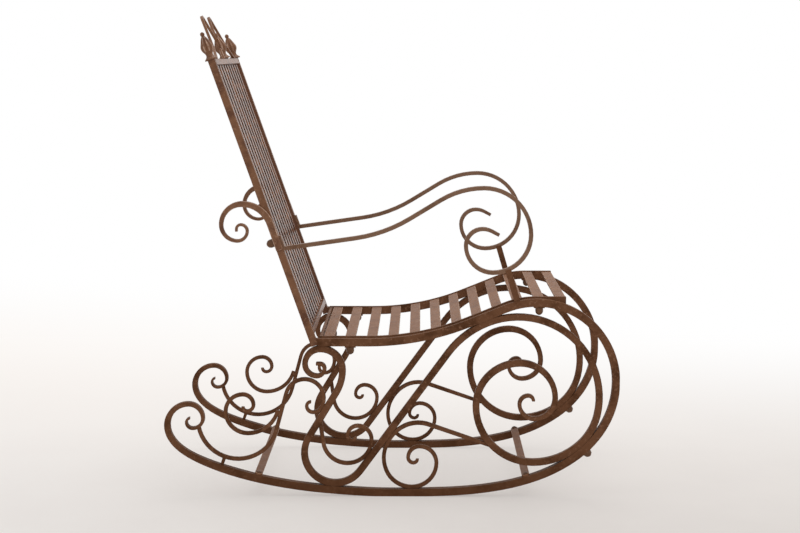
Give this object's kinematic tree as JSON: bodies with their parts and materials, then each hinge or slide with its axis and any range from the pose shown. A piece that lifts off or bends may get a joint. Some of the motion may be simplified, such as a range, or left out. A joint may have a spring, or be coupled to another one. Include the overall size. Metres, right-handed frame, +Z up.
{
  "type": "rocking chair",
  "caption": "Scrolled iron garden rocking chair: square-bar rockers that sweep up into the seat, a slatted seat and leaning back, curled arms and bud finials.",
  "frame": {"origin": "on the floor, under the middle of the chair's overall box; the runners meet the floor about 1 mm behind it", "axes": "+X the way the sitter faces, +Y the sitter's left, +Z up"},
  "size_m": [1.0482, 0.5324, 1.1045],
  "materials": {
    "frame_paint": "satin antique brown paint, slightly mottled",
    "slat_paint": "satin antique brown paint, a little worn and dusty on the flats",
    "bolt_paint": "satin dark brown paint"
  },
  "bodies": {
    "root": {"arm_bolts": "bolt_paint", "arm_left": "frame_paint", "arm_post_left": "frame_paint", "arm_post_right": "frame_paint", "arm_right": "frame_paint", "arm_scroll_left": "frame_paint", "arm_scroll_right": "frame_paint", "back_bottom_rail": "frame_paint", "back_post_left": "frame_paint", "back_post_right": "frame_paint", "back_slat_1": "slat_paint", "back_slat_2": "slat_paint", "back_slat_3": "slat_paint", "back_slat_4": "slat_paint", "back_slat_5": "slat_paint", "back_slat_6": "slat_paint", "back_slat_7": "slat_paint", "back_slat_8": "slat_paint", "back_slat_9": "slat_paint", "back_top_rail": "frame_paint", "crest_feet": "frame_paint", "crest_finial": "frame_paint", "crest_hoop_left": "frame_paint", "crest_hoop_right": "frame_paint", "leg_scroll_left": "frame_paint", "leg_scroll_right": "frame_paint", "loop_scroll_left": "frame_paint", "loop_scroll_right": "frame_paint", "post_finial_left": "frame_paint", "post_finial_right": "frame_paint", "rear_long_scroll_left": "frame_paint", "rear_long_scroll_right": "frame_paint", "rear_short_scroll_left": "frame_paint", "rear_short_scroll_right": "frame_paint", "rocker_left": "frame_paint", "rocker_right": "frame_paint", "seat_bolts": "bolt_paint", "seat_ears": "frame_paint", "seat_rail_left": "frame_paint", "seat_rail_right": "frame_paint", "seat_rear_bar": "frame_paint", "seat_slat_01": "slat_paint", "seat_slat_02": "slat_paint", "seat_slat_03": "slat_paint", "seat_slat_04": "slat_paint", "seat_slat_05": "slat_paint", "seat_slat_06": "slat_paint", "seat_slat_07": "slat_paint", "seat_slat_08": "slat_paint", "seat_slat_09": "slat_paint", "seat_slat_10": "slat_paint", "seat_slat_11": "slat_paint", "seat_slat_12": "slat_paint", "spiral_bolts": "bolt_paint", "stretcher_front": "frame_paint", "stretcher_rear": "frame_paint", "stretcher_screws": "bolt_paint", "tail_scroll_left": "frame_paint", "tail_scroll_right": "frame_paint"}
  },
  "joints": []
}
